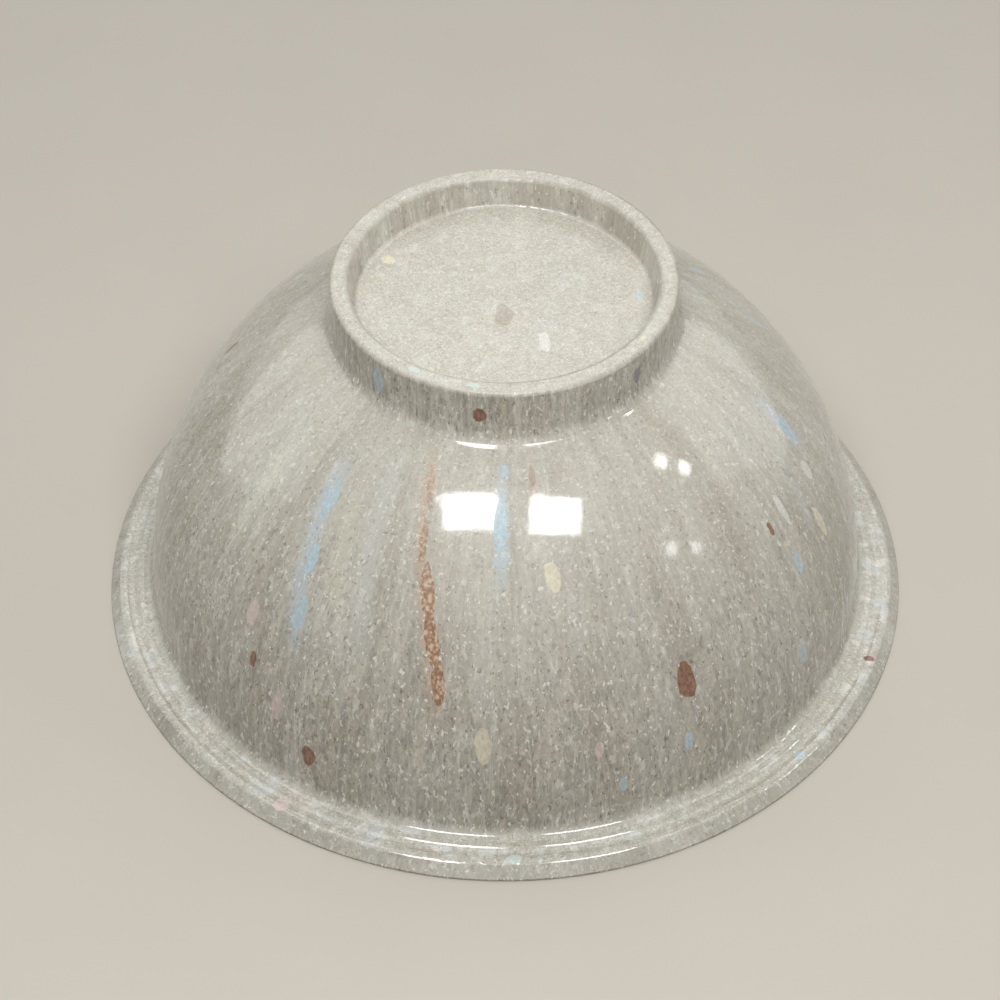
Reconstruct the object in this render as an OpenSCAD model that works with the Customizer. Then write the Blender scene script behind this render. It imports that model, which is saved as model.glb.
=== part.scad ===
// Mixing bowl in speckled melamine, standing mouth down on its lip.
// The bowl is one moulding with its lip and foot ring. Coloured chips of melamine
// are pressed into it in the mould, so they lie flush with its surface.
// Millimetres. The origin is the middle of the mouth, on the plane of the lip, with Z up.

/* [Bowl] */
// Diameter across the lip
bowl_d = 254; // [230:1:280]
// Height from the lip's resting plane to the top of the foot ring
bowl_h = 120.65; // [112:0.05:130]
// Thickness of the wall
wall = 4; // [3:0.25:6]
// Thickness of the floor between the inside and the foot's recess
floor_t = 4; // [3:0.25:6]
// Rounding between the inside wall and the flat inside floor
floor_blend = 30; // [10:1:40]

/* [Lip] */
// Width of the lip outside the round of the wall
lip_w = 14; // [13:0.25:20]
// Thickness of the lip
lip_t = 4.3; // [3:0.1:5]
// Angle of the outward normal of the lip's bevel above the level
lip_bevel = 45; // [35:1:52]
// Rounding of the bevel's upper edge
lip_top_round = 2; // [0.5:0.1:3]
// Rounding of the bevel's lower edge
lip_low_round = 0.6; // [0.3:0.1:1]
// Height of the shelf between the cove and the groove above the lip
lip_step = 0.3; // [0.1:0.05:0.5]
// Distance from the lip's edge to the middle of the groove round the shelf
groove_in = 7; // [6.6:0.1:7.4]
// Depth of the groove below the lip
groove_depth = 0.35; // [0.2:0.05:0.5]
// Radius of the groove's round bottom
groove_r = 3.8; // [2.5:0.1:4.2]
// Radius of the cove between the shelf and the wall
cove_r = 3.5; // [2.5:0.25:4.5]
// Rounding of the mouth between the inside wall and the lip's resting plane
mouth_round = 6; // [2:0.25:8]

/* [Foot] */
// Outer diameter of the foot ring, where its wall would meet its top
foot_d = 101.4; // [98:0.2:112]
// Width of the foot ring's top before its edges are rounded
foot_w = 5.5; // [5:0.1:12]
// Height of the foot ring above the start of its flare on the wall
foot_h = 19; // [16:0.05:21.5]
// Depth of the recess inside the foot ring
recess_depth = 9.75; // [5:0.25:10]
// Draft of the foot ring's outer wall in degrees
foot_draft = 1; // [0.5:0.5:4]
// Draft of the foot ring's inner wall in degrees
bore_draft = 8; // [5:1:20]
// Rounding of the foot ring's outer top edge
crest_out_round = 1.6; // [1:0.1:3]
// Rounding of the foot ring's inner top edge
crest_in_round = 1.8; // [1:0.1:2.8]
// Width of the flare on the wall outside the foot ring
flare_w = 4.8; // [3.4:0.1:6.5]
// Radius of the flare
flare_r = 17; // [12:0.5:24]
// Radius of the fillet between the flare and the foot ring
foot_fillet = 5.5; // [3:0.25:7.5]
// Radius of the fillet round the recess's floor
recess_fillet = 1.5; // [1:0.1:3]

/* [Chips] */
// Depth of a chip below the surface
chip_depth = 1.2; // [0.8:0.1:1.4]
// Unit in which the placed chips' lengths and widths are counted
chip_unit = 1; // [0.8:0.05:1.15]
// Number of chips on the far side of the wall
far_chips = 34; // [12:1:40]
// Number of chips on the inside of the wall
inside_chips = 40; // [12:1:48]
// Longest of the scattered chips
chip_long = 12; // [6:0.5:13]
// Shortest of the scattered chips
chip_short = 5; // [4:0.5:6]
// Width of the scattered chips
chip_w = 3.2; // [2:0.1:4]
// How far a corner of a chip may be drawn in, as a share of its reach
chip_uneven = 0.28; // [0:0.02:0.4]

/* [Hidden] */
$fn = 240;

// How far a fillet's circle runs into the lines it blends, so that they cross cleanly
bite = 0.004;
// How far a cutting shape reaches past the surface it cuts
past = 1.5;

// Wall: the round of its outside and its inside, which share a middle
lip_r = bowl_d / 2;
dome_r = lip_r - lip_w;
inner_r = dome_r - wall;
foot_r = foot_d / 2;
flare_lat = acos((foot_r + flare_w) / dome_r);
dome_z = bowl_h - foot_h - dome_r * sin(flare_lat);

// Lip: the bevel of its edge, the cove that meets the wall, and the groove between them
bevel_out = [cos(lip_bevel), sin(lip_bevel)];
bevel_low = [lip_r - lip_low_round, lip_low_round];
bevel_reach = bevel_low * bevel_out + lip_low_round;
bevel_top_r = (bevel_reach - lip_t * bevel_out.y) / bevel_out.x;
lip_flat_r = bevel_top_r - lip_top_round * (1 - bevel_out.y) / bevel_out.x;
shelf_z = lip_t + lip_step;
cove_z = shelf_z + cove_r;
cove_x = sqrt((dome_r + cove_r) ^ 2 - (cove_z - dome_z) ^ 2);
cove_lat = atan2(cove_z - dome_z, cove_x);
groove_mid = [lip_r - groove_in, lip_t - groove_depth + groove_r];

// Foot: the outer wall's line, its top rounding, and the flare and the fillet at its base
crest_z = bowl_h - crest_out_round;
foot_out = [cos(foot_draft), sin(foot_draft)];
foot_down = [sin(foot_draft), -cos(foot_draft)];
crest_x = foot_r - crest_out_round * (1 - foot_out.y) / foot_out.x;
flare_low = on_dome(dome_r, flare_lat);
flare_mid = on_dome(dome_r + flare_r, flare_lat);
fillet_start = [foot_r, bowl_h] + foot_fillet * foot_out - flare_mid;
fillet_along = fillet_start * foot_down;
fillet_reach = flare_r - foot_fillet;
fillet_drop = sqrt(fillet_along ^ 2 - fillet_start * fillet_start + fillet_reach ^ 2) - fillet_along;
fillet_mid = flare_mid + fillet_start + fillet_drop * foot_down;
fillet_top = fillet_mid - foot_fillet * foot_out;
fillet_low = flare_mid + (fillet_mid - flare_mid) * flare_r / fillet_reach;

// Recess: the inner wall's line and its roundings
bore_r = foot_r - foot_w;
bore_in = [-cos(bore_draft), sin(bore_draft)];
recess_z = bowl_h - recess_depth;
bore_low_r = bore_r - recess_depth * tan(bore_draft);
crest_in_x = bore_r - crest_in_round * (1 - bore_in.y) / bore_in.x;
recess_x = bore_low_r + recess_fillet * (1 - bore_in.y) / bore_in.x;

// Inside: the mouth's rounding and the blend to the flat floor
floor_z = recess_z - floor_t;
mouth_x = sqrt((inner_r + mouth_round) ^ 2 - (mouth_round - dome_z) ^ 2);
mouth_lat = atan2(mouth_round - dome_z, mouth_x);
blend_up = floor_z - floor_blend - dome_z;
blend_x = sqrt((inner_r - floor_blend) ^ 2 - blend_up ^ 2);
blend_lat = atan2(blend_up, blend_x);

// Point on a circle about the dome's middle
function on_dome(r, lat) = [r * cos(lat), dome_z + r * sin(lat)];

// Chips that the near side shows, by colour.
// Each row is the surface, the turn from the front in degrees, the share of the way
// across that surface, the length along the flow and the width in units, and for a chip
// that leans from the flow, by how many degrees.
BLUE = [
    ["dome", -37, 0.49, 13, 5], ["dome", -38.5, 0.628, 13, 4.6], ["dome", -40.5, 0.776, 13, 5],
    ["dome", -1, 0.825, 17, 4.4], ["dome", -0.5, 0.963, 5, 3], ["dome", 58.5, 0.421, 9, 4.4],
    ["dome", 53.5, 0.185, 9, 4.2], ["dome", 28.5, 0.165, 8, 3.8], ["dome", 17.5, 0.097, 6, 3.2],
    ["dome", 77, 0.658, 13, 6], ["foot", -44.5, 0.45, 10.5, 5.2], ["recess", 92.4, 0.93, 3, 4],
    ["lip", 46, 0.84, 4, 4]
];
RUST = [
    ["dome", 29.5, 0.343, 14.5, 6.6], ["dome", -31, 0.097, 9, 5.4], ["dome", -43.5, 0.293, 6.5, 3.2],
    ["dome", 56, 0.559, 6, 2.2], ["dome", -102, 0.658, 9, 2.6], ["dome", 7, 0.943, 8, 2.2],
    ["dome", -18.4, 0.894, 16, 2.8, 10], ["dome", -17.3, 0.766, 16, 3, 5],
    ["dome", -14.6, 0.648, 20, 4.8, 13], ["dome", -12.8, 0.539, 20, 5.2, 14],
    ["dome", -11, 0.431, 19, 4.6, 7], ["foot", -8, 0.4, 6, 5],
    ["recess", -0.5, 0.16, 12, 6.5], ["lip", 67.5, 0.87, 4, 3]
];
CREAM = [
    ["dome", -3.5, 0.264, 14, 6], ["dome", 69, 0.421, 13, 4.2], ["dome", 9, 0.697, 11, 5.4],
    ["recess", -118.5, 0.92, 5, 5], ["crest", 54, 0.5, 2, 4]
];
WHITE = [["dome", 73.5, 0.549, 9, 5], ["dome", 61, 0.569, 13, 3.2], ["recess", 32, 0.51, 11, 4.4, -32]];
PINK = [
    ["dome", -46, 0.412, 10, 5], ["dome", -37.5, 0.205, 12, 4.6], ["dome", 14, 0.225, 7, 3.4],
    ["lip", -33, 0.84, 5, 6]
];
VIOLET = [["foot", 47, 0.45, 7, 3.6]];
MINT = [["crest", -31.5, 0.5, 2.2, 5], ["crest", -10.5, 0.5, 2.2, 5.4], ["lip", 1, 0.87, 4, 6]];

// Order in which the scattered chips take their colours
COLOUR_RUN = ["rust", "blue", "cream", "rust", "pink", "white", "blue", "violet", "cream", "mint"];
golden = (sqrt(5) - 1) / 2;
far_turns = [95, 252];
dome_margin = 0.08;

// Colour, length and place of one scattered chip out of a count
function scatter_colour(i) = COLOUR_RUN[i % len(COLOUR_RUN)];
function scatter_length(i) = chip_short + (chip_long - chip_short) * ((2 * i * golden * golden) % 1);
function scatter_share(i, count) = dome_margin + (1 - 2 * dome_margin) * (i + 0.5) / count;
function scatter_turn(i, turns) = turns[0] + (turns[1] - turns[0]) * ((i * golden) % 1);

// Rows of the scattered chips of one colour, on the far side and on the inside
function far_rows(colour) = [
    for (i = [0 : far_chips - 1]) if (scatter_colour(i) == colour)
        ["dome", scatter_turn(i, far_turns), scatter_share(i, far_chips), scatter_length(i), chip_w, 0]
];
function inside_rows(colour) = [
    for (i = [0 : inside_chips - 1]) if (scatter_colour(i + 3) == colour)
        ["inside", scatter_turn(i, [0, 360]), scatter_share(i, inside_chips), scatter_length(i), chip_w, 0]
];

// Rows of the placed chips, with their sizes in millimetres and a lean of 0 where none is given
function placed_rows(rows) = [
    for (row = rows)
        [row[0], row[1], row[2], chip_unit * row[3], chip_unit * row[4], len(row) > 5 ? row[5] : 0]
];
function all_rows(colour, near) = concat(placed_rows(near), far_rows(colour), inside_rows(colour));

// Outline of one flake, with uneven corners that depend on its place
corners = 11;
module flake(length, width, seed) {
    reach = rands(1 - chip_uneven, 1, corners, seed);
    polygon([
        for (k = [0 : corners - 1])
            reach[k] / 2 * [length * cos(k * 360 / corners), width * sin(k * 360 / corners)]
    ]);
}

// Puts its children on a surface, with X along the flow and Z out of the surface
module on_surface(surface, turn, share) {
    rotate([0, 0, turn - 90]) {
        if (surface == "dome") {
            lat = cove_lat + (flare_lat - cove_lat) * share;
            translate([0, 0, dome_z]) rotate([0, 90 - lat, 0]) translate([0, 0, dome_r]) children();
        }
        if (surface == "inside") {
            lat = mouth_lat + (blend_lat - mouth_lat) * share;
            translate([0, 0, dome_z]) rotate([0, 90 - lat, 0]) translate([0, 0, inner_r])
                mirror([0, 0, 1]) children();
        }
        if (surface == "foot") {
            z = fillet_top.y + (crest_z - fillet_top.y) * share;
            r = foot_r + (bowl_h - z) * tan(foot_draft);
            translate([r, 0, z]) rotate([0, 90 - foot_draft, 0]) children();
        }
        if (surface == "recess") translate([recess_x * share, 0, recess_z]) children();
        if (surface == "crest") {
            r = crest_in_x + (crest_x - crest_in_x) * share;
            translate([r, 0, bowl_h]) children();
        }
        if (surface == "lip") {
            r = cove_x + (lip_flat_r - cove_x) * share;
            translate([r, 0, lip_t]) children();
        }
    }
}

// Prisms that hold the chips of a list of rows, and cut their pockets
module chip_prisms(rows) {
    for (row = rows)
        on_surface(row[0], row[1], row[2])
            translate([0, 0, -chip_depth])
                rotate([0, 0, row[5]])
                    linear_extrude(chip_depth + past)
                        flake(row[3], row[4], round(row[1] * 10 + row[2] * 100));
}

// What a rounding of radius r takes off a corner, between the directions a and b from its middle
module corner(middle, a, b, r) {
    reach = 2 * r / (1 + a * b);
    difference() {
        polygon([middle, middle + reach * a, middle + reach * (a + b), middle + reach * b]);
        translate(middle) circle(r + bite);
    }
}

// Section through the lip, with its bevelled edge and the groove
module lip_section() {
    difference() {
        union() {
            polygon([[0, 0], [bevel_reach / bevel_out.x, 0], [bevel_top_r, lip_t], [0, lip_t]]);
            square([groove_mid.x, shelf_z]);
        }
        translate(groove_mid) circle(groove_r);
        corner([lip_flat_r, lip_t - lip_top_round], bevel_out, [0, 1], lip_top_round);
        corner(bevel_low, bevel_out, [0, -1], lip_low_round);
    }
}

// Section through the outside of the wall, with the cove above the lip
module wall_section() {
    difference() {
        union() {
            intersection() {
                translate([0, dome_z]) circle(dome_r);
                translate([0, shelf_z - past]) square([lip_r, bowl_h]);
            }
            polygon([[0, 0], [cove_x, 0], [cove_x, shelf_z], on_dome(dome_r, cove_lat), [0, cove_z]]);
            lip_section();
        }
        translate(on_dome(dome_r + cove_r - bite, cove_lat) - [0, bite]) circle(cove_r);
    }
}

// Section through the foot ring as a solid block, with the flare and the fillet at its base
module foot_section() {
    to_fillet = 2 * (fillet_low - flare_mid);
    to_wall = 2 * (flare_low - flare_mid) + [flare_r, 0];
    difference() {
        polygon([
            [0, flare_low.y - past], flare_low - [0, past], flare_low, fillet_low, fillet_top,
            [foot_r, bowl_h], [0, bowl_h]
        ]);
        intersection() {
            translate(flare_mid) circle(flare_r + bite);
            polygon([flare_mid, flare_mid + to_fillet, flare_mid + to_wall]);
        }
        translate(fillet_mid) circle(foot_fillet + 2 * bite);
        corner([crest_x, crest_z], foot_out, [0, 1], crest_out_round);
    }
}

// Section through the recess inside the foot ring
module recess_section() {
    difference() {
        union() {
            polygon([
                [0, recess_z], [bore_low_r, recess_z], [bore_r, bowl_h],
                [bore_r, bowl_h + past], [0, bowl_h + past]
            ]);
            corner([crest_in_x, bowl_h - crest_in_round], bore_in, [0, 1], crest_in_round);
        }
        corner([recess_x, recess_z + recess_fillet], -bore_in, [0, -1], recess_fillet);
    }
}

// Section through the hollow inside of the bowl, open at the mouth
module hollow_section() {
    difference() {
        union() {
            intersection() {
                translate([0, dome_z]) circle(inner_r);
                square([inner_r, floor_z]);
            }
            translate([0, -past]) square([mouth_x, on_dome(inner_r, mouth_lat).y + past]);
        }
        translate(on_dome(inner_r + mouth_round - bite, mouth_lat) - [0, bite]) circle(mouth_round);
        corner([blend_x, floor_z - floor_blend], [cos(blend_lat), sin(blend_lat)], [0, 1], floor_blend);
    }
}

// The moulding before its chips are let in
module bowl_blank() {
    rotate_extrude()
        intersection() {
            difference() {
                union() {
                    wall_section();
                    foot_section();
                }
                recess_section();
                hollow_section();
            }
            square([lip_r, bowl_h]);
        }
}

// The chips of one list of rows, cut flush with the surface
module chips(rows) {
    intersection() {
        bowl_blank();
        chip_prisms(rows);
    }
}

// The bowl, its lip and its foot ring, with a pocket for each chip
module bowl_body() {
    color("#bab6aa")
        difference() {
            bowl_blank();
            chip_prisms(all_rows("blue", BLUE));
            chip_prisms(all_rows("rust", RUST));
            chip_prisms(all_rows("cream", CREAM));
            chip_prisms(all_rows("white", WHITE));
            chip_prisms(all_rows("pink", PINK));
            chip_prisms(all_rows("violet", VIOLET));
            chip_prisms(all_rows("mint", MINT));
        }
}

module blue_chips() { color("#8fa6bd") chips(all_rows("blue", BLUE)); }
module rust_chips() { color("#7d4f38") chips(all_rows("rust", RUST)); }
module cream_chips() { color("#dcd6b4") chips(all_rows("cream", CREAM)); }
module white_chips() { color("#e2e2dc") chips(all_rows("white", WHITE)); }
module pink_chips() { color("#c2a39a") chips(all_rows("pink", PINK)); }
module violet_chips() { color("#74708f") chips(all_rows("violet", VIOLET)); }
module mint_chips() { color("#bcd3c8") chips(all_rows("mint", MINT)); }

bowl_body();
blue_chips();
rust_chips();
cream_chips();
white_chips();
pink_chips();
violet_chips();
mint_chips();
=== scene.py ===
"""Finishes and photographs a speckled melamine mixing bowl that stands mouth down on its lip.

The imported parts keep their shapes. This script gives the moulding and the chips that are
pressed into it their melamine, and sets up the floor, the lamps and the camera.
"""
import math

import bpy
from mathutils import Matrix, Vector

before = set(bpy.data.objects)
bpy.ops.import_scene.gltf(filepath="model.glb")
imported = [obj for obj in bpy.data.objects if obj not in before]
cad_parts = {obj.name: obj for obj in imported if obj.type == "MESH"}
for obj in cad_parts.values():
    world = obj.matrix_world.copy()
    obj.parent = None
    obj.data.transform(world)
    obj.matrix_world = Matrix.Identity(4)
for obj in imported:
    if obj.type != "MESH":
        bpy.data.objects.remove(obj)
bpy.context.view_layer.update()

bl_info = {
    "name": "Speckled Melamine Bowl",
    "version": (1, 0, 0),
    "blender": (4, 5, 0),
    "location": "View3D > Sidebar > Bowl",
    "description": "Finishes a mixing bowl of speckled melamine and its studio",
    "category": "Object",
}

MM = 0.001

# Sockets of the Mix node when it mixes colours
FACTOR, MIX_A, MIX_B, MIX_RESULT = 0, 6, 7, 2

# Form of the bowl in millimetres, as the part's own sizes give it
DOME_R = 113.0
DOME_Z = 3.2
RECESS_R = 42.0
BORE_R = 45.6
FOOT_R = 54.0
LIP_TOP_Z = 6.5
CREST_Z = 120.0
LIP_RING_R = (115.6, 119.4)

# Values that most of a noise lies between, and its middle
NOISE_LOW, NOISE_HIGH = 0.3, 0.7
NOISE_MIDDLE = 0.5

# Radius in millimetres at which a pattern along the flow has its full width
FLOW_R = 100.0
# How much of a step up or out counts along the flow
RUN_SHARE = 0.7
# How far flecks are squeezed in height in their noise, so that they are drawn out up the wall
UPRIGHT = 0.4
# Steepness at which a face starts to count as wall and at which it fully does
STEEP = (0.15, 0.8)
# Power by which a face that tilts stops counting as level
LEVEL_POWER = 4
# How coarse the specks are on a level and on a steep face, at the left and at the right, and inside the
# foot ring
COARSE_FACE = (0.25, 1.0)
COARSE_SIDE = (1.15, 0.8)
COARSE_IN_FOOT = 0.4

# How far the flow draws out the drifts, the streaks and the veins
DRIFT_STRETCH = 5
STREAK_STRETCH = 8
VEIN_STRETCH = 4
# Colours of the drifts with their places in the noise, and how much of it the level faces keep
DRIFT_STOPS = (("taupe", 0.32), ("beige", 0.46), ("mist", 0.57), ("oat", 0.68))
DRIFT_CALM = 0.35
# Contrast of each fine pattern, where it is weakest and where it is strongest
STREAK_CONTRAST = (0.02, 0.2)
MOTTLE_CONTRAST = (0.0, 0.3)
SWIRL_CONTRAST = (0.0, 0.14)
# Painted shade: the tone of the wall at the lip, and the height in millimetres from which the wall has its
# full tone
LIP_PAINTED_SHADE = 0.86
PAINTED_SHADE_TOP_Z = 60.0

# Curls on the level faces, partly painted highlights of the relief of their folds, and veins on the wall:
# how far they wind, half their width in the noise, and their strength
CURL = (2.5, 0.05, 0.5)
VEIN = (1.4, 0.035, 0.34)

# Places in the noise of a pale patch's edge and of its tints, and its strength up on the bowl and on
# the lip
PATCH_EDGE = (0.5, 0.62)
PATCH_STOPS = (("pink_patch", 0.36), ("pale_speck", 0.5), ("blue_patch", 0.64))
PATCH_SHARE = (0.2, 0.55)

# Layers of flecks. Each has its colour, its size and the shift of its noise in millimetres, its edge in
# the noise, and its strength.
FLECKS = (
    ("pale_speck", 2.2, 37, 0.61, 0.42),
    ("pale_speck", 1.1, 0, 0.625, 0.9),
    ("dark_speck", 2.0, 71, 0.63, 0.3),
    ("dark_speck", 1.0, 113, 0.635, 0.55),
)
# Softness of a fleck's edge in the noise, its least weight, and the coarseness that gives its full weight
FLECK_BLUR = 0.05
FLECK_LEAST = 0.3
FULL_COARSE = 0.8

# Wobbles of a wash's edge for each millimetre, how far they reach in millimetres, and the edge of its
# grains in the noise
WASH_WOBBLES = 0.35
WASH_REACH = 1.4
GRAIN_EDGE = (0.44, 0.58)
# Millimetres above its lower end, and above its upper end, over which a wash fades in
WASH_FOOT = (-4, 6)
WASH_HEAD = (3, -5)
# Soft washes of colour that the flow drew out in the wall. Each has its colour, its strength, the turn
# from the front and the latitude of its lower and upper ends in degrees, its width in millimetres, and
# how far it breaks up into grains.
WASHES = (
    ("#dfe2cc", 0.5, (-56, 34), (-57.5, 51), 9.0, 0.5),
    ("#c3d3da", 0.7, (-36.5, 25), (-42.5, 54), 8.0, 0.3),
    ("#bfd5dd", 0.7, (-1, 42), (-1, 58), 6.0, 0.3),
    ("#cdcfca", 0.5, (-24.5, 28), (-29.5, 59), 9.0, 0.3),
    ("#d9d4bb", 0.45, (-31, 34), (-36, 51), 7.0, 0.4),
    ("#cfa98a", 0.75, (-16.8, 43), (-20, 59.5), 4.0, 0.7),
    ("#cfae8f", 0.7, (-10.6, 22), (-16, 44), 6.4, 0.8),
    ("#c39a80", 0.6, (7, 52), (7, 60), 3.4, 0.7),
    ("#c4d3dc", 0.6, (77, 36), (77, 48), 8.0, 0.3),
    ("#cfd2cf", 0.5, (66, 28), (68, 40), 7.0, 0.3),
    ("#d4cfc8", 0.5, (12, 30), (13, 48), 8.0, 0.4),
)
# Lower and upper end of the rust streak and the width that holds its chips, as in a wash
RUST_STREAK = ((-10.2, 20), (-19.5, 61), 18.0)

# Folds inside the foot ring for each swirl, and how far they wind
FOLDS_PER_SWIRL = 0.7
FOLD_WIND = 2
# Least and most roughness of the gloss, as shares of its setting
HAZE = (0.7, 1.3)
# Millimetres below the crest at which its wear starts
WEAR_DEPTH = 2.5


def linear(hex_colour):
    """Linear RGBA of an sRGB hex value."""
    channels = [int(hex_colour[i:i + 2], 16) / 255 for i in (1, 3, 5)]
    linear_rgb = [c / 12.92 if c <= 0.04045 else ((c + 0.055) / 1.055) ** 2.4 for c in channels]
    return (*linear_rgb, 1.0)


def height_at(latitude):
    """Height in millimetres of a point of the outer wall at a latitude in degrees."""
    return DOME_Z + DOME_R * math.sin(math.radians(latitude))


def add(tree, kind, links=None, **settings):
    """Adds one node, sets its properties, and fills its inputs with values or other nodes' outputs."""
    new = tree.nodes.new("ShaderNode" + kind)
    for name, value in settings.items():
        setattr(new, name, value)
    for socket, value in (links or {}).items():
        if isinstance(value, bpy.types.NodeSocket):
            tree.links.new(value, new.inputs[socket])
        else:
            new.inputs[socket].default_value = value
    return new


def calc(tree, operation, *values):
    """Result of one Math node."""
    return add(tree, "Math", dict(enumerate(values)), operation=operation).outputs[0]


def scaled(tree, vector, factor):
    """A vector or a colour times a factor."""
    return add(tree, "VectorMath", {0: vector, "Scale": factor}, operation="SCALE").outputs[0]


def between(tree, value, low, high, start=0, end=1, **settings):
    """Takes a value from the span of low to high to the span of start to end."""
    return add(tree, "MapRange", {0: value, 1: low, 2: high, 3: start, 4: end}, **settings).outputs[0]


def fade(tree, value, low, high, start=0, end=1):
    """Takes a value from one span to another as between does, with soft ends."""
    return between(tree, value, low, high, start, end, interpolation_type="SMOOTHSTEP")


def noise_at(tree, where, width, detail=2, roughness=0.5, distortion=0):
    """Noise whose patches are about as wide as a width, in the unit of the coordinates."""
    return add(tree, "TexNoise", {
        "Vector": where, "Scale": 1 / width, "Detail": detail, "Roughness": roughness,
        "Distortion": distortion}).outputs[0]


def colour_stops(tree, value, group, stops):
    """Colour that runs through stops, each of which has the name of a colour in a group and its place."""
    node = add(tree, "ValToRGB", {0: value})
    elements = node.color_ramp.elements
    for element, (name, place) in zip((elements[0], elements[1]), (stops[0], stops[-1])):
        element.position = place
        element.color = getattr(group, name)
    for name, place in stops[1:-1]:
        elements.new(place).color = getattr(group, name)
    return node.outputs[0]


def over(tree, colour, mask, strength, top):
    """Lays a colour over another by a mask and a strength."""
    share = calc(tree, "MULTIPLY", mask, strength)
    mixed = add(tree, "Mix", {FACTOR: share, MIX_A: colour, MIX_B: top}, data_type="RGBA")
    return mixed.outputs[MIX_RESULT]


class BowlFinish(bpy.types.PropertyGroup):
    """Finish of the melamine moulding."""

    beige: bpy.props.FloatVectorProperty(
        name="Beige", description="Greenish beige of most of the melamine",
        subtype="COLOR", size=4, min=0, max=1, default=linear("#bfbaac"))
    taupe: bpy.props.FloatVectorProperty(
        name="Taupe", description="Brownish grey of its darker drifts",
        subtype="COLOR", size=4, min=0, max=1, default=linear("#b0a99b"))
    mist: bpy.props.FloatVectorProperty(
        name="Mist", description="Pale greenish grey of its cooler drifts",
        subtype="COLOR", size=4, min=0, max=1, default=linear("#c5c1b4"))
    oat: bpy.props.FloatVectorProperty(
        name="Oat", description="Cream of its paler drifts",
        subtype="COLOR", size=4, min=0, max=1, default=linear("#cfcbbf"))
    pale_speck: bpy.props.FloatVectorProperty(
        name="Pale specks", description="Colour of the fine pale specks",
        subtype="COLOR", size=4, min=0, max=1, default=linear("#f2f1e8"))
    pink_patch: bpy.props.FloatVectorProperty(
        name="Pink patches", description="Colour of the pale patches that lean to pink",
        subtype="COLOR", size=4, min=0, max=1, default=linear("#e2d3ca"))
    blue_patch: bpy.props.FloatVectorProperty(
        name="Blue patches", description="Colour of the pale patches that lean to blue",
        subtype="COLOR", size=4, min=0, max=1, default=linear("#d3dcdc"))
    dark_speck: bpy.props.FloatVectorProperty(
        name="Dark specks", description="Colour of the fine dark specks",
        subtype="COLOR", size=4, min=0, max=1, default=linear("#60513f"))
    drift_width: bpy.props.FloatProperty(
        name="Drift width", description="Millimetres across one drift of colour",
        default=16, min=4, max=60)
    streak_width: bpy.props.FloatProperty(
        name="Streak width", description="Millimetres across one streak of the flow",
        default=2.4, min=0.5, max=10)
    mottle_width: bpy.props.FloatProperty(
        name="Mottle width", description="Millimetres across one patch of the fine mottle",
        default=1.4, min=0.3, max=10)
    swirl_width: bpy.props.FloatProperty(
        name="Swirl width", description="Millimetres across one swirl on the level faces",
        default=1.3, min=0.5, max=10)
    patch_width: bpy.props.FloatProperty(
        name="Patch width", description="Millimetres across one pale patch on the level faces",
        default=7, min=1, max=30)
    grain_width: bpy.props.FloatProperty(
        name="Grain width", description="Millimetres across one grain of a broken wash",
        default=0.9, min=0.3, max=5)
    peel_width: bpy.props.FloatProperty(
        name="Orange peel", description="Millimetres across one ripple of the pressed surface",
        default=1.3, min=0.3, max=5)
    peel_height: bpy.props.FloatProperty(
        name="Peel height", description="Millimetres of height of that ripple",
        default=0.012, min=0, max=0.1, precision=4)
    fold_height: bpy.props.FloatProperty(
        name="Fold height",
        description="Millimetres of height of the folds of the charge inside the foot ring",
        default=0.12, min=0, max=0.5, precision=3)
    ring_width: bpy.props.FloatProperty(
        name="Ring width", description="Millimetres from one fine turned ring on the lip to the next",
        default=1.1, min=0.3, max=5)
    ring_height: bpy.props.FloatProperty(
        name="Ring height", description="Millimetres of height of those rings",
        default=0.02, min=0, max=0.1, precision=3)
    roughness: bpy.props.FloatProperty(
        name="Roughness", description="Roughness of the pressed gloss",
        subtype="FACTOR", default=0.07, min=0, max=1)
    worn: bpy.props.FloatProperty(
        name="Worn crest",
        description="Roughness of the crest of the foot ring, where tables have rubbed it",
        subtype="FACTOR", default=0.4, min=0, max=1)
    bloom: bpy.props.FloatProperty(
        name="Bloom", description="Weight of the faint bloom that years of washing leave on the gloss",
        subtype="FACTOR", default=0.3, min=0, max=1)
    bloom_roughness: bpy.props.FloatProperty(
        name="Bloom roughness",
        description="Roughness of that bloom, which sets how far a lamp's glow spreads",
        subtype="FACTOR", default=0.28, min=0, max=1)
    ior: bpy.props.FloatProperty(
        name="IOR", description="Index of refraction of melamine",
        default=1.57, min=1, max=3)


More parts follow.
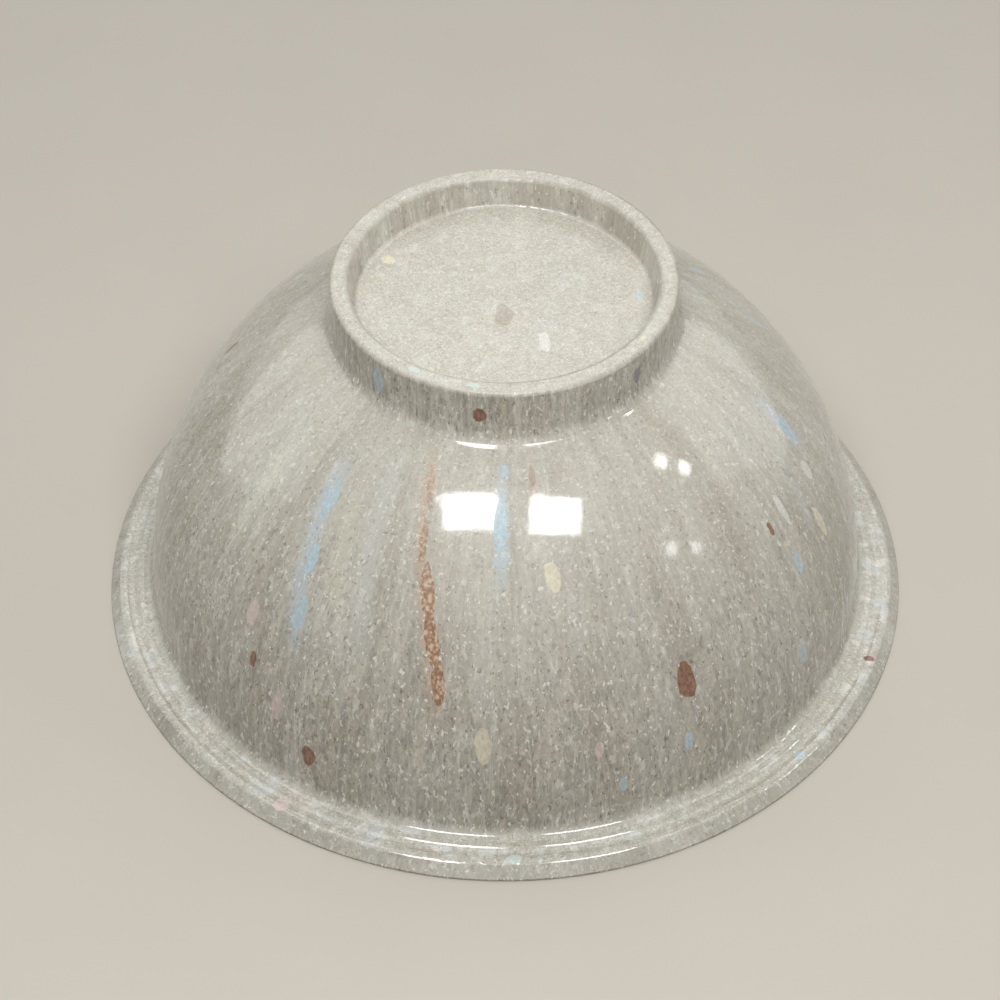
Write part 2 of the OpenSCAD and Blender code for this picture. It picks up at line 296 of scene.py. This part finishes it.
class ChipFinish(bpy.types.PropertyGroup):
    """Colours of the melamine chips that are pressed into the moulding."""

    blue: bpy.props.FloatVectorProperty(
        name="Blue", description="Colour of the sky blue chips",
        subtype="COLOR", size=4, min=0, max=1, default=linear("#bcd2da"))
    rust: bpy.props.FloatVectorProperty(
        name="Rust", description="Colour of the rust brown chips",
        subtype="COLOR", size=4, min=0, max=1, default=linear("#9c6f56"))
    dark_rust: bpy.props.FloatVectorProperty(
        name="Dark rust", description="Colour of the darkest grains of the rust chips",
        subtype="COLOR", size=4, min=0, max=1, default=linear("#6f4f3e"))
    tan: bpy.props.FloatVectorProperty(
        name="Tan", description="Colour of most grains of the rust streak",
        subtype="COLOR", size=4, min=0, max=1, default=linear("#b48f70"))
    straw: bpy.props.FloatVectorProperty(
        name="Straw", description="Colour of the palest grains of the rust streak",
        subtype="COLOR", size=4, min=0, max=1, default=linear("#dcc8ac"))
    cream: bpy.props.FloatVectorProperty(
        name="Cream", description="Colour of the cream chips",
        subtype="COLOR", size=4, min=0, max=1, default=linear("#e6dec4"))
    white: bpy.props.FloatVectorProperty(
        name="White", description="Colour of the white chips",
        subtype="COLOR", size=4, min=0, max=1, default=linear("#e8e6de"))
    pink: bpy.props.FloatVectorProperty(
        name="Pink", description="Colour of the pink chips",
        subtype="COLOR", size=4, min=0, max=1, default=linear("#e4d1cd"))
    violet: bpy.props.FloatVectorProperty(
        name="Violet", description="Colour of the violet chips",
        subtype="COLOR", size=4, min=0, max=1, default=linear("#8c8292"))
    mint: bpy.props.FloatVectorProperty(
        name="Mint", description="Colour of the mint chips",
        subtype="COLOR", size=4, min=0, max=1, default=linear("#d0e0da"))
    edge: bpy.props.FloatProperty(
        name="Soft edge", description="Width over which a chip runs into the melamine round it",
        unit="LENGTH", default=0.6 * MM, min=0.05 * MM, max=5 * MM)
    grain: bpy.props.FloatProperty(
        name="Grain", description="Millimetres across one grain inside a chip",
        default=0.9, min=0.2, max=3)
    ragged: bpy.props.FloatProperty(
        name="Ragged edge", description="Millimetres across one notch of a chip's ragged edge",
        default=1.6, min=0.2, max=5)


class StageSetup(bpy.types.PropertyGroup):
    """Floor, lamps and camera."""

    floor: bpy.props.FloatVectorProperty(
        name="Floor", description="Colour of the pale floor",
        subtype="COLOR", size=4, min=0, max=1, default=linear("#cdc7bc"))
    floor_bounce: bpy.props.FloatVectorProperty(
        name="Floor bounce", description="Colour of the light that the floor throws back on the bowl",
        subtype="COLOR", size=4, min=0, max=1, default=linear("#74665a"))
    sky: bpy.props.FloatVectorProperty(
        name="Backdrop", description="Colour of the backdrop",
        subtype="COLOR", size=4, min=0, max=1, default=linear("#cbc8c2"))
    fill: bpy.props.FloatProperty(
        name="Fill light", description="Level of the even light from all round",
        default=0.1, min=0, max=2)
    panel: bpy.props.FloatProperty(
        name="Panel light", description="Radiance of the two panel lamps in front",
        default=12, min=0, max=100)
    soft: bpy.props.FloatProperty(
        name="Soft light", description="Radiance of the wide soft lamps",
        default=1, min=0, max=20)
    lens: bpy.props.FloatProperty(
        name="Lens", description="Focal length of the camera in millimetres",
        default=85.945, min=20, max=300)


def flow_fields(tree):
    """Position in millimetres, and the directions that melamine flows in while it is pressed.

    It spreads from the middle of the foot to the lip, so the colours run out along the wall. Its specks
    are coarse low on the wall, and more so on the left.
    """
    place = add(tree, "TexCoord").outputs
    point = scaled(tree, place["Object"], 1 / MM)
    axes = add(tree, "SeparateXYZ", {0: point}).outputs
    level = add(tree, "VectorMath", {0: point, 1: (1, 1, 0)}, operation="MULTIPLY").outputs[0]
    radius = add(tree, "VectorMath", {0: level}, operation="LENGTH").outputs["Value"]
    turn = calc(tree, "ARCTAN2", axes["X"], calc(tree, "MULTIPLY", axes["Y"], -1))
    reach = calc(tree, "MAXIMUM", radius, RECESS_R)
    across = scaled(tree, level, calc(tree, "DIVIDE", FLOW_R, reach))
    run = calc(tree, "SUBTRACT", axes["Z"], radius)
    upright = add(tree, "VectorMath", {0: point, 1: (1, 1, UPRIGHT)}, operation="MULTIPLY").outputs[0]
    facing = add(tree, "SeparateXYZ", {0: place["Normal"]}).outputs["Z"]
    flat = calc(tree, "ABSOLUTE", facing)
    on_wall = between(tree, calc(tree, "SUBTRACT", 1, flat), *STEEP, *COARSE_FACE)
    side = between(tree, axes["X"], -DOME_R, DOME_R, *COARSE_SIDE)
    outside = between(tree, radius, BORE_R, BORE_R + 1, COARSE_IN_FOOT, 1)
    coarse = calc(tree, "MULTIPLY", calc(tree, "MULTIPLY", on_wall, side), outside)
    smooth = calc(tree, "POWER", flat, LEVEL_POWER)
    return {"point": point, "height": axes["Z"], "radius": radius, "turn": turn, "across": across,
            "run": run, "upright": upright, "coarse": coarse, "smooth": smooth}


def along_flow(tree, field, stretch):
    """Coordinates in millimetres that are drawn out along the flow by a stretch."""
    slow = calc(tree, "MULTIPLY", field["run"], RUN_SHARE / stretch)
    offset = add(tree, "CombineXYZ", {"Z": slow}).outputs[0]
    return add(tree, "VectorMath", {0: field["across"], 1: offset}, operation="ADD").outputs[0]


def tone(tree, noise, weight, contrast):
    """Factor about 1 that follows a noise, by a contrast that runs between two values with a weight."""
    swing = between(tree, noise, NOISE_LOW, NOISE_HIGH, -1, 1, clamp=False)
    share = between(tree, weight, 0, 1, *contrast)
    return calc(tree, "MULTIPLY_ADD", swing, share, 1)


def flecks(tree, field, size, shift, edge):
    """Mask of irregular flecks where a noise of a size in millimetres rises above an edge.

    They are fewer on the level faces and inside the foot ring.
    """
    shifts = (shift, shift, shift)
    where = add(tree, "VectorMath", {0: field["upright"], 1: shifts}, operation="ADD").outputs[0]
    noise = noise_at(tree, where, size, roughness=0.55, distortion=0.4)
    mask = fade(tree, noise, edge, edge + FLECK_BLUR)
    weight = between(tree, field["coarse"], 0, FULL_COARSE, FLECK_LEAST, 1)
    return calc(tree, "MULTIPLY", mask, weight)


def veins(tree, where, width, wind, half):
    """Mask of fine curling lines, where a noise of a width in millimetres is near its middle."""
    noise = noise_at(tree, where, width, distortion=wind)
    off_line = calc(tree, "ABSOLUTE", calc(tree, "SUBTRACT", noise, NOISE_MIDDLE))
    return fade(tree, off_line, 0, half, 1, 0)


def wash_mask(tree, field, ragged, low, high, width):
    """Mask of one soft wash between two points of the wall."""
    z_low = height_at(low[1])
    z_high = height_at(high[1])
    ends = (math.radians(low[0]), math.radians(high[0]))
    line = between(tree, field["height"], z_low, z_high, *ends, clamp=False)
    swing = calc(tree, "SUBTRACT", field["turn"], line)
    aside = calc(tree, "MULTIPLY_ADD", swing, field["radius"], ragged)
    side = fade(tree, calc(tree, "ABSOLUTE", aside), width / 2, width / 8)
    foot = fade(tree, field["height"], z_low + WASH_FOOT[0], z_low + WASH_FOOT[1])
    head = fade(tree, field["height"], z_high + WASH_HEAD[0], z_high + WASH_HEAD[1])
    return calc(tree, "MULTIPLY", side, calc(tree, "MULTIPLY", foot, head))


def drift_colour(tree, finish, field):
    """Broad drifts of the four colours of the body."""
    drawn = along_flow(tree, field, DRIFT_STRETCH)
    drift = noise_at(tree, drawn, finish.drift_width, detail=4, roughness=0.6)
    calm = between(tree, field["smooth"], 0, 1, 1, DRIFT_CALM)
    centred = calc(tree, "SUBTRACT", drift, NOISE_MIDDLE)
    drifted = calc(tree, "MULTIPLY_ADD", centred, calm, NOISE_MIDDLE)
    return colour_stops(tree, drifted, finish, DRIFT_STOPS)


def fine_tone_and_painted_shade(tree, finish, field):
    """Factor about 1 for the fine patterns, and for a painted shade that darkens the wall towards the lip.
    """
    drawn = along_flow(tree, field, STREAK_STRETCH)
    streak = noise_at(tree, drawn, finish.streak_width, detail=4, roughness=0.6, distortion=0.7)
    mottle = noise_at(tree, field["upright"], finish.mottle_width, detail=4, roughness=0.7, distortion=0.5)
    swirl = noise_at(tree, field["point"], finish.swirl_width, detail=3, roughness=0.65, distortion=2)
    streak_tone = tone(tree, streak, field["coarse"], STREAK_CONTRAST)
    mottle_tone = tone(tree, mottle, field["coarse"], MOTTLE_CONTRAST)
    swirl_tone = tone(tree, swirl, field["smooth"], SWIRL_CONTRAST)
    # Painted shade: the wall is darkened more and more towards the lip
    low_tone = between(tree, field["height"], 0, PAINTED_SHADE_TOP_Z, LIP_PAINTED_SHADE, 1)
    flow_tone = calc(tree, "MULTIPLY", streak_tone, mottle_tone)
    speck_tone = calc(tree, "MULTIPLY", flow_tone, swirl_tone)
    return calc(tree, "MULTIPLY", speck_tone, low_tone)


def with_washes(tree, finish, field, colour):
    """A colour with the soft washes over it."""
    wobble = noise_at(tree, field["point"], 1 / WASH_WOBBLES, detail=3, roughness=0.7)
    ragged = between(tree, wobble, NOISE_LOW, NOISE_HIGH, -WASH_REACH, WASH_REACH)
    grains = fade(tree, noise_at(tree, field["upright"], finish.grain_width), *GRAIN_EDGE)
    for wash, strength, low, high, width, broken in WASHES:
        mask = wash_mask(tree, field, ragged, low, high, width)
        cover = between(tree, grains, 0, 1, 1 - broken, 1)
        colour = over(tree, colour, calc(tree, "MULTIPLY", mask, cover), strength, linear(wash))
    return colour


def with_veins(tree, finish, field, colour):
    """A colour with the fine pale lines where the charge was folded before it was pressed.

    They curl over the level faces, where they are partly painted highlights of the folds' relief, and on
    the wall the flow has drawn them out.
    """
    wind, half, strength = CURL
    # Pale curls on the level faces: partly the folds' own colour, partly painted highlight
    curls_and_glints = veins(tree, field["point"], 2 * finish.swirl_width, wind, half)
    on_level = calc(tree, "MULTIPLY", curls_and_glints, field["smooth"])
    colour = over(tree, colour, on_level, strength, finish.pale_speck)
    wind, half, strength = VEIN
    drawn = veins(tree, along_flow(tree, field, VEIN_STRETCH), 2 * finish.streak_width, wind, half)
    on_wall = calc(tree, "MULTIPLY", drawn, field["coarse"])
    return over(tree, colour, on_wall, strength, finish.pale_speck)


def with_patches(tree, finish, field, colour):
    """A colour with the pale patches of the level faces, where chips lie flat.

    They lean to pink or to blue.
    """
    patch = noise_at(tree, field["point"], finish.patch_width, detail=4, roughness=0.6)
    pale = calc(tree, "MULTIPLY", fade(tree, patch, *PATCH_EDGE), field["smooth"])
    lean = noise_at(tree, field["upright"], finish.patch_width, detail=1)
    tints = colour_stops(tree, lean, finish, PATCH_STOPS)
    share = between(tree, field["height"], 4 * LIP_TOP_Z, LIP_TOP_Z, *PATCH_SHARE)
    return over(tree, colour, pale, share, tints)


def melamine_colour(tree, finish, field):
    """Colour of the speckled melamine at each point of the bowl."""
    drifts = drift_colour(tree, finish, field)
    colour = scaled(tree, drifts, fine_tone_and_painted_shade(tree, finish, field))
    for layer in (with_washes, with_veins, with_patches):
        colour = layer(tree, finish, field, colour)
    for speck, size, shift, edge, strength in FLECKS:
        mask = flecks(tree, field, size, shift, edge)
        colour = over(tree, colour, mask, strength, getattr(finish, speck))
    return colour


def pressed_normal(tree, finish, field):
    """Orange peel and folds of the pressed surface, and the fine turned rings of the lip."""
    peel = noise_at(tree, field["point"], finish.peel_width, detail=3)
    ripple = calc(tree, "MULTIPLY", peel, finish.peel_height)
    fold = noise_at(tree, field["point"], finish.swirl_width / FOLDS_PER_SWIRL, distortion=FOLD_WIND)
    in_foot = calc(tree, "LESS_THAN", field["radius"], BORE_R)
    deep = calc(tree, "MULTIPLY", calc(tree, "MULTIPLY", in_foot, field["smooth"]), finish.fold_height)
    folded = calc(tree, "MULTIPLY_ADD", fold, deep, ripple)
    ring = calc(tree, "SINE", calc(tree, "MULTIPLY", field["radius"], math.tau / finish.ring_width))
    past_in = calc(tree, "GREATER_THAN", field["radius"], LIP_RING_R[0])
    past_out = calc(tree, "LESS_THAN", field["radius"], LIP_RING_R[1])
    low = calc(tree, "LESS_THAN", field["height"], LIP_TOP_Z)
    on_lip = calc(tree, "MULTIPLY", calc(tree, "MULTIPLY", past_in, past_out), low)
    tall = calc(tree, "MULTIPLY", on_lip, finish.ring_height)
    height = calc(tree, "MULTIPLY_ADD", ring, tall, folded)
    return add(tree, "Bump", {"Height": height, "Strength": 1, "Distance": MM}).outputs[0]


def new_melamine(name, finish):
    """A glossy compression-moulded melamine, ready for its colour."""
    material = bpy.data.materials.new(name)
    material.use_nodes = True
    tree = material.node_tree
    tree.nodes.clear()
    field = flow_fields(tree)
    haze = noise_at(tree, field["point"], finish.patch_width, detail=3)
    rough = between(tree, haze, NOISE_LOW, NOISE_HIGH, *(share * finish.roughness for share in HAZE))
    # The crest stands on tables, so its gloss is rubbed off
    rubbed = between(tree, field["height"], CREST_Z - WEAR_DEPTH, CREST_Z, 0, finish.worn)
    worn = calc(tree, "MAXIMUM", rough, rubbed)
    gloss = add(tree, "BsdfPrincipled", {
        "Roughness": worn, "IOR": finish.ior, "Normal": pressed_normal(tree, finish, field),
        "Coat Weight": finish.bloom, "Coat Roughness": finish.bloom_roughness})
    add(tree, "OutputMaterial", {"Surface": gloss.outputs[0]})
    return material, tree, field, gloss


def give_finish(name, material):
    """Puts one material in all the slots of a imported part."""
    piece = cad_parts[name]
    if not piece.data.materials:
        raise RuntimeError(f"{name} has no material slot")
    for slot in range(len(piece.data.materials)):
        piece.data.materials[slot] = material


class BOWL_OT_finish_moulding(bpy.types.Operator):
    """Gives the moulding its speckled melamine"""

    bl_idname = "bowl.finish_moulding"
    bl_label = "Finish Moulding"

    def execute(self, context):
        finish = context.scene.bowl_finish
        # Compression-moulded melamine: a hard, bright gloss over a warm grey body full of fine specks
        material, tree, field, gloss = new_melamine("melamine_speckled", finish)
        tree.links.new(melamine_colour(tree, finish, field), gloss.inputs["Base Color"])
        give_finish("bowl_body", material)
        return {"FINISHED"}


class BOWL_OT_finish_chips(bpy.types.Operator):
    """Gives each colour of chip its melamine"""

    bl_idname = "bowl.finish_chips"
    bl_label = "Finish Chips"

    # How much of a chip its own colour covers, and how far its grains differ in tone
    LOOKS = {"blue": (0.8, 0.16), "rust": (0.95, 0), "cream": (0.8, 0.16), "white": (0.75, 0.12),
             "pink": (0.7, 0.14), "violet": (0.85, 0.3), "mint": (0.8, 0.06)}
    # Depth and notches of a chip's edge, added up, at which its colour starts and at which it is full
    CHIP_EDGE = (0.75, 1.25)
    # Colours of the grains of a rust chip, and of the rust streak, with their places in the noise
    RUST_STOPS = (("dark_rust", 0.38), ("rust", 0.56))
    STREAK_STOPS = (("rust", 0.38), ("tan", 0.5), ("straw", 0.62))
    # Heights in millimetres between which rust fades into the body, and how far it does
    RUST_FADE_Z = (70, 98)
    RUST_FADE = 0.68

    def rust_colour(self, tree, chips, field, grain, body):
        """Grains of rust and dark brown. The long streak has tan and straw in it, and fades upwards."""
        solid = colour_stops(tree, grain, chips, self.RUST_STOPS)
        broken = colour_stops(tree, grain, chips, self.STREAK_STOPS)
        low, high, width = RUST_STREAK
        in_streak = wash_mask(tree, field, 0, low, high, width)
        colour = over(tree, solid, in_streak, 1, broken)
        high_up = between(tree, field["height"], *self.RUST_FADE_Z, 0, self.RUST_FADE)
        on_wall = calc(tree, "GREATER_THAN", field["radius"], FOOT_R)
        in_recess = calc(tree, "LESS_THAN", field["radius"], RECESS_R)
        faint = calc(tree, "ADD", on_wall, in_recess)
        return over(tree, colour, faint, high_up, body)

    def execute(self, context):
        finish = context.scene.bowl_finish
        chips = context.scene.chip_finish
        for kind, (cover, contrast) in self.LOOKS.items():
            # A chip of the same melamine, pressed in while soft, so its edge runs into the body round it
            material, tree, field, gloss = new_melamine(f"melamine_chip_{kind}", finish)
            body = melamine_colour(tree, finish, field)
            grain = noise_at(tree, field["upright"], chips.grain, roughness=0.6)
            if kind == "rust":
                colour = self.rust_colour(tree, chips, field, grain, body)
            else:
                colour = scaled(tree, getattr(chips, kind)[:3], tone(tree, grain, 1, (0, contrast)))
            inside = add(tree, "AmbientOcclusion", {"Distance": chips.edge}, samples=16, inside=True,
                         only_local=True).outputs["AO"]
            ragged = noise_at(tree, field["point"], chips.ragged, detail=3)
            share = fade(tree, calc(tree, "ADD", ragged, inside), *self.CHIP_EDGE, 0, cover)
            tree.links.new(over(tree, body, share, 1, colour), gloss.inputs["Base Color"])
            give_finish(f"{kind}_chips", material)
        return {"FINISHED"}


class BOWL_OT_set_stage(bpy.types.Operator):
    """Lays the floor and sets up the lamps and the camera"""

    bl_idname = "bowl.set_stage"
    bl_label = "Set Stage"

    # Side of the floor and width of its mottle in metres, and the contrast of that mottle
    FLOOR_SIDE = 6.0
    FLOOR_MOTTLE = 0.05
    FLOOR_CONTRAST = 0.01
    # Watts that each square metre of a lamp takes for a radiance of 1
    LAMP_POWER = 4
    # Point of the dome that the panels shine in, in metres
    SHINE = (0.0, -0.0686, 0.092)
    # Each panel has its direction from there, its distance and its two sides in metres
    PANELS = (((-0.195, -0.493, 0.848), 1.0, 0.29, 0.205), ((0.278, -0.505, 0.817), 1.0, 0.29, 0.205))
    # Each small lamp has its direction from the right of the dome, its size in metres and its share of a
    # panel's light
    RIGHT_SIDE = (0.045, -0.055, 0.088)
    SMALL = (((0.729, -0.049, 0.683), 0.065, 1.0), ((0.818, -0.012, 0.575), 0.065, 1.0),
             ((0.799, -0.416, 0.435), 0.06, 0.5), ((0.882, -0.319, 0.346), 0.06, 0.4))
    # Each wide soft lamp has its name, its place and its side in metres and its share of the soft light
    SOFT = (("soft_behind", (0.0, 0.55, 1.3), 1.4, 0.9), ("soft_above", (0.0, 0.0, 1.5), 1.4, 0.15),
            ("soft_front", (0.0, -1.2, 1.2), 1.2, 0.5), ("soft_left", (-1.8, 0.9, 1.0), 1.8, 0.65),
            ("soft_right", (1.8, 1.1, 1.0), 1.8, 0.6))
    # Place of the camera in metres and its turn in degrees
    CAMERA_AT = (-0.001511, -0.530637, 0.566734)
    CAMERA_TURN = (44.547, 0.195, -0.198)

    def lamp(self, name, place, aim, width, length, radiance):
        """A flat lamp at a place, aimed at a point, that gives a radiance."""
        light = bpy.data.lights.new(name, "AREA")
        light.shape = "RECTANGLE"
        light.size = width
        light.size_y = length
        light.energy = self.LAMP_POWER * radiance * width * length
        lamp = bpy.data.objects.new(name, light)
        bpy.context.scene.collection.objects.link(lamp)
        lamp.location = place
        back = (Vector(place) - Vector(aim)).normalized()
        level = Vector((1, 0, 0))
        side = (level - back * level.dot(back)).normalized()
        lamp.rotation_euler = Matrix((side, back.cross(side), back)).transposed().to_euler()

    def seen(self, tree):
        """1 for rays that come straight from the camera, or by way of a gloss or a clear material."""
        rays = add(tree, "LightPath").outputs
        mirror = calc(tree, "MAXIMUM", rays["Is Glossy Ray"], rays["Is Transmission Ray"])
        return calc(tree, "MAXIMUM", rays["Is Camera Ray"], mirror)

    def lay_floor(self, stage):
        """Lays the floor in matt paint: pale and even, with a faint mottle."""
        half = self.FLOOR_SIDE / 2
        corners = [(-half, -half, 0), (half, -half, 0), (half, half, 0), (-half, half, 0)]
        mesh = bpy.data.meshes.new("floor")
        mesh.from_pydata(corners, [], [(0, 1, 2, 3)])
        floor = bpy.data.objects.new("floor", mesh)
        bpy.context.scene.collection.objects.link(floor)
        material = bpy.data.materials.new("matt_paint")
        material.use_nodes = True
        tree = material.node_tree
        tree.nodes.clear()
        colour = over(tree, stage.floor_bounce, self.seen(tree), 1, stage.floor)
        mottle = noise_at(tree, add(tree, "TexCoord").outputs["Object"], self.FLOOR_MOTTLE, detail=3)
        painted = scaled(tree, colour, tone(tree, mottle, 1, (0, self.FLOOR_CONTRAST)))
        matt = add(tree, "BsdfDiffuse", {"Color": painted})
        add(tree, "OutputMaterial", {"Surface": matt.outputs[0]})
        mesh.materials.append(material)

    def light_world(self, stage):
        """Even fill from all round, with a pale backdrop where it is seen."""
        world = bpy.data.worlds.new("studio")
        bpy.context.scene.world = world
        world.use_nodes = True
        tree = world.node_tree
        tree.nodes.clear()
        even = add(tree, "Background", {"Color": (1, 1, 1, 1), "Strength": stage.fill})
        pale = add(tree, "Background", {"Color": stage.sky, "Strength": 1})
        both = add(tree, "MixShader", {0: self.seen(tree), 1: even.outputs[0], 2: pale.outputs[0]})
        add(tree, "OutputWorld", {"Surface": both.outputs[0]})

    def execute(self, context):
        stage = context.scene.stage_setup
        self.lay_floor(stage)
        self.light_world(stage)
        for number, (way, distance, width, length) in enumerate(self.PANELS, 1):
            place = [start + distance * step for start, step in zip(self.SHINE, way)]
            self.lamp(f"panel_{number}", place, self.SHINE, width, length, stage.panel)
        for number, (way, side, share) in enumerate(self.SMALL, 1):
            place = [start + step for start, step in zip(self.RIGHT_SIDE, way)]
            self.lamp(f"small_{number}", place, self.RIGHT_SIDE, side, side, share * stage.panel)
        for name, place, side, share in self.SOFT:
            self.lamp(name, place, (0, 0, 0), side, side, share * stage.soft)
        camera = bpy.data.cameras.new("camera")
        camera.lens = stage.lens
        view = bpy.data.objects.new("camera", camera)
        context.scene.collection.objects.link(view)
        view.location = self.CAMERA_AT
        view.rotation_euler = [math.radians(angle) for angle in self.CAMERA_TURN]
        context.scene.camera = view
        context.scene.view_settings.view_transform = "Standard"
        return {"FINISHED"}


class VIEW3D_PT_bowl(bpy.types.Panel):
    """Lists the steps that finish the bowl"""

    bl_label = "Speckled Melamine Bowl"
    bl_space_type = "VIEW_3D"
    bl_region_type = "UI"
    bl_category = "Bowl"

    def draw(self, context):
        for operator in OPERATORS:
            self.layout.operator(operator.bl_idname)
        for name in GROUPS:
            group = getattr(context.scene, name)
            for value in group.__annotations__:
                self.layout.prop(group, value)


GROUPS = {"bowl_finish": BowlFinish, "chip_finish": ChipFinish, "stage_setup": StageSetup}
OPERATORS = (BOWL_OT_finish_moulding, BOWL_OT_finish_chips, BOWL_OT_set_stage)


def register():
    """Registers the settings, the operators and the panel."""
    for name, group in GROUPS.items():
        bpy.utils.register_class(group)
        setattr(bpy.types.Scene, name, bpy.props.PointerProperty(type=group))
    for operator in OPERATORS:
        bpy.utils.register_class(operator)
    bpy.utils.register_class(VIEW3D_PT_bowl)


def unregister():
    """Takes them away again."""
    bpy.utils.unregister_class(VIEW3D_PT_bowl)
    for operator in reversed(OPERATORS):
        bpy.utils.unregister_class(operator)
    for name, group in GROUPS.items():
        delattr(bpy.types.Scene, name)
        bpy.utils.unregister_class(group)


def main():
    """Runs the steps in order."""
    register()
    bpy.ops.bowl.finish_moulding()
    bpy.ops.bowl.finish_chips()
    bpy.ops.bowl.set_stage()


if __name__ == "__main__":
    main()
